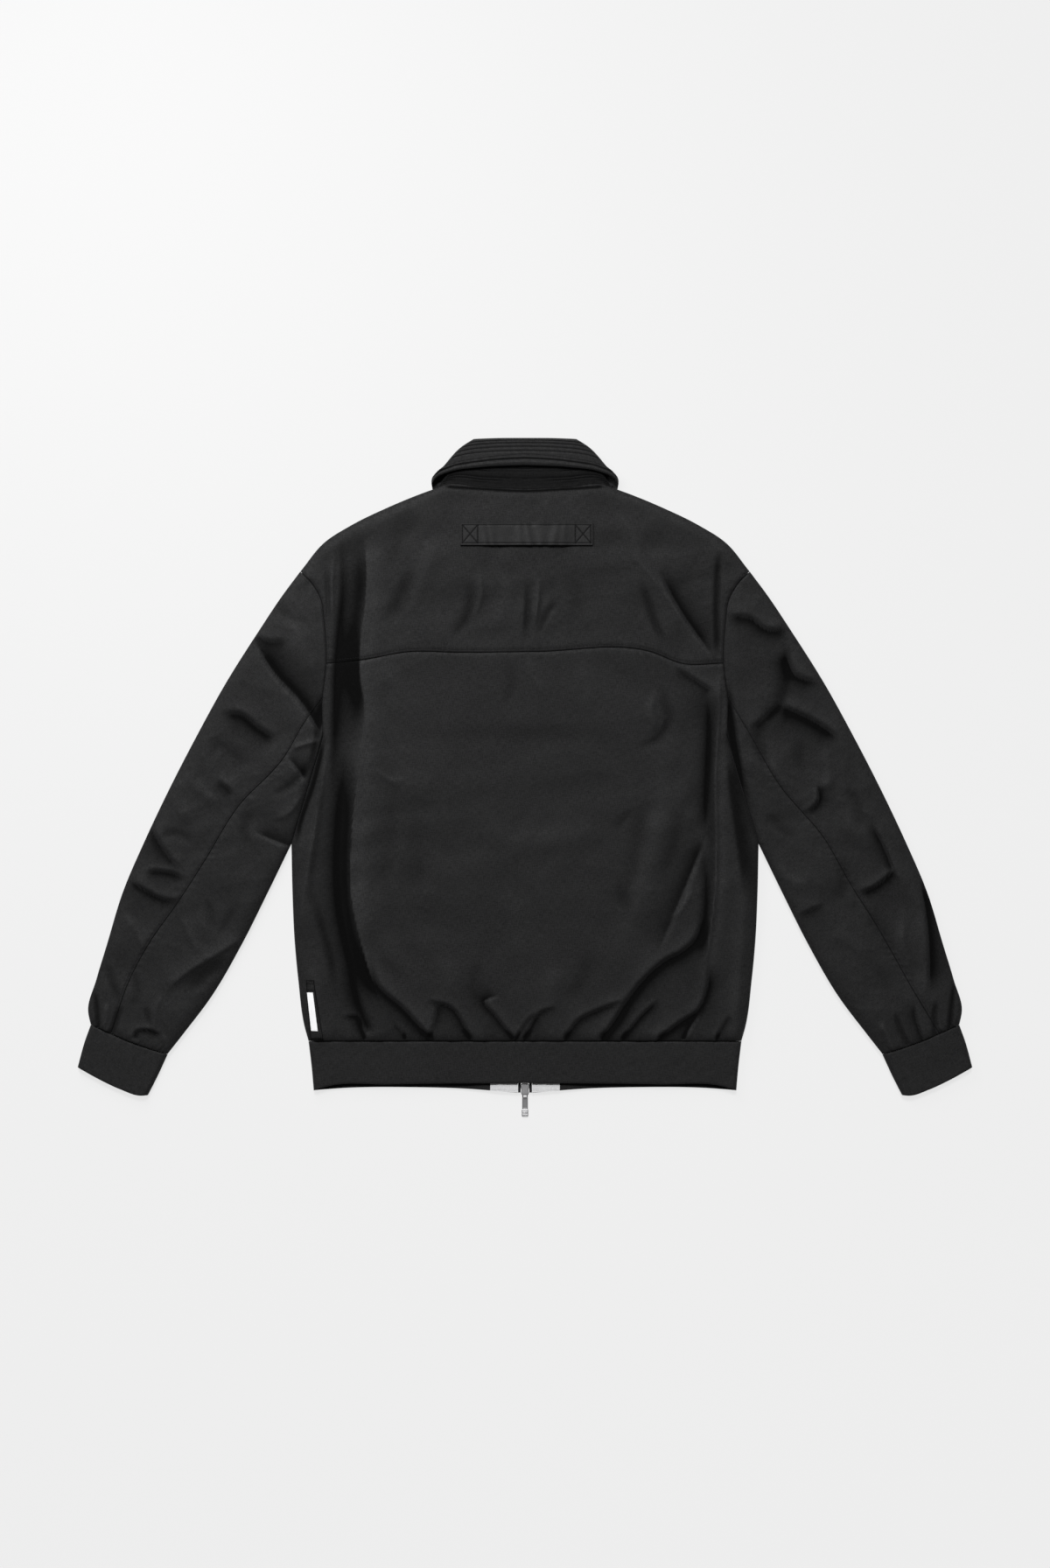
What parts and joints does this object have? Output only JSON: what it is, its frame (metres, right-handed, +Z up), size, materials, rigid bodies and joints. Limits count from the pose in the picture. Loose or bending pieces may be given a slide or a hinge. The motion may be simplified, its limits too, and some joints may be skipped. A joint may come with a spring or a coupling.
{
  "type": "padded bomber jacket laid flat",
  "caption": "Zipped padded bomber jacket lying face down and flat, with a back yoke, two-piece sleeves, a stand-and-fall collar and an elastic hem band and cuffs.",
  "frame": {"origin": "middle of the box's underside, on the table, with the jacket lying on its front", "axes": "+X to the wearer's right, +Y from the hem to the collar, +Z up from the table out of the jacket's back"},
  "size_m": [0.998, 0.7574, 0.0203],
  "materials": {
    "charcoal_twill": "near-black charcoal twill with a slight sheen",
    "zip_tape_black": "black woven zip tape",
    "white_twill": "plain white woven facing and label",
    "gunmetal": "dark nickel-plated zip hardware"
  },
  "bodies": {
    "root": {"back_yoke": "charcoal_twill", "back_panel": "charcoal_twill", "front_left": "charcoal_twill", "front_right": "charcoal_twill", "sleeve_top_left": "charcoal_twill", "sleeve_top_right": "charcoal_twill", "sleeve_under_left": "charcoal_twill", "sleeve_under_right": "charcoal_twill", "cuff_left": "charcoal_twill", "cuff_right": "charcoal_twill", "hem_band": "charcoal_twill", "collar_stand": "charcoal_twill", "collar_fall": "charcoal_twill", "hanger_strap": "charcoal_twill", "side_patch": "charcoal_twill", "side_label": "white_twill", "facing_left": "white_twill", "facing_right": "white_twill", "zip_tape_left": "zip_tape_black", "zip_tape_right": "zip_tape_black", "zip_chain": "gunmetal", "zip_slider_lower": "gunmetal", "zip_slider_upper": "gunmetal"},
    "pull_lower": {"zip_pull_lower": "gunmetal"},
    "pull_upper": {"zip_pull_upper": "gunmetal"}
  },
  "joints": [
    {"name": "pull_lower_hinge", "type": "hinge", "parent": "root", "child": "pull_lower", "pos_m": [0, -0.3521, 0.00205], "axis": [1, 0, 0], "range_deg": [0, 140]},
    {"name": "pull_upper_hinge", "type": "hinge", "parent": "root", "child": "pull_upper", "pos_m": [0, 0.2769, 0.00205], "axis": [1, 0, 0], "range_deg": [0, 140]}
  ]
}
